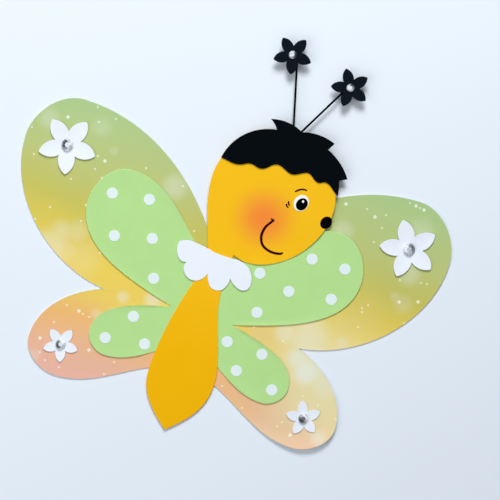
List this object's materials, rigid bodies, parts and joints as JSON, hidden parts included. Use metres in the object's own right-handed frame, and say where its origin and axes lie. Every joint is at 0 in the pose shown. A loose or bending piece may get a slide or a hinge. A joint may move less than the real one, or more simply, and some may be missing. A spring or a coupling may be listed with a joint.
{
  "type": "paper butterfly",
  "caption": "Paper butterfly of glued card layers: printed and green wings with punched dots, yellow smiling head and body, black hair, white collar, wire antennas with flowers.",
  "frame": {"origin": "on the back of the printed wings, on the line about which the wings mirror, near the middle of the green wings", "axes": "+Z out of the front of the butterfly, up as it lies on its back; +Y towards the head; +X to the right, the way the face looks"},
  "size_m": [0.2216, 0.2065, 0.0061],
  "materials": {
    "printed_card": "matt print",
    "green_card": "matt",
    "yellow_card": "matt",
    "black_card": "matt",
    "white_card": "matt",
    "white_paper": "matt",
    "black_paper": "matt",
    "black_wire": "satin enamel",
    "rhinestone": "clear faceted glass with a silvered back"
  },
  "bodies": {
    "root": {"printed_wings": "printed_card", "green_wings": "green_card", "head_and_body": "yellow_card", "hair": "black_card", "collar": "white_card", "nose": "black_paper", "eye_white": "white_paper", "eye_pupil": "black_paper", "antenna_wire": "black_wire", "wing_flower_upper_left": "white_card", "wing_flower_upper_right": "white_card", "wing_flower_lower_left": "white_card", "wing_flower_lower_right": "white_card", "wing_stone_upper_left": "rhinestone", "wing_stone_upper_right": "rhinestone", "wing_stone_lower_left": "rhinestone", "wing_stone_lower_right": "rhinestone", "antenna_flower_left": "black_card", "antenna_flower_right": "black_card", "antenna_stone_left": "rhinestone", "antenna_stone_right": "rhinestone", "white_dot_01": "white_paper", "white_dot_02": "white_paper", "white_dot_03": "white_paper", "white_dot_04": "white_paper", "white_dot_05": "white_paper", "white_dot_06": "white_paper", "white_dot_07": "white_paper", "white_dot_08": "white_paper", "white_dot_09": "white_paper", "white_dot_10": "white_paper", "white_dot_11": "white_paper", "white_dot_12": "white_paper", "white_dot_13": "white_paper", "white_dot_14": "white_paper", "white_dot_15": "white_paper", "white_dot_16": "white_paper", "white_dot_17": "white_paper", "white_dot_18": "white_paper"}
  },
  "joints": []
}
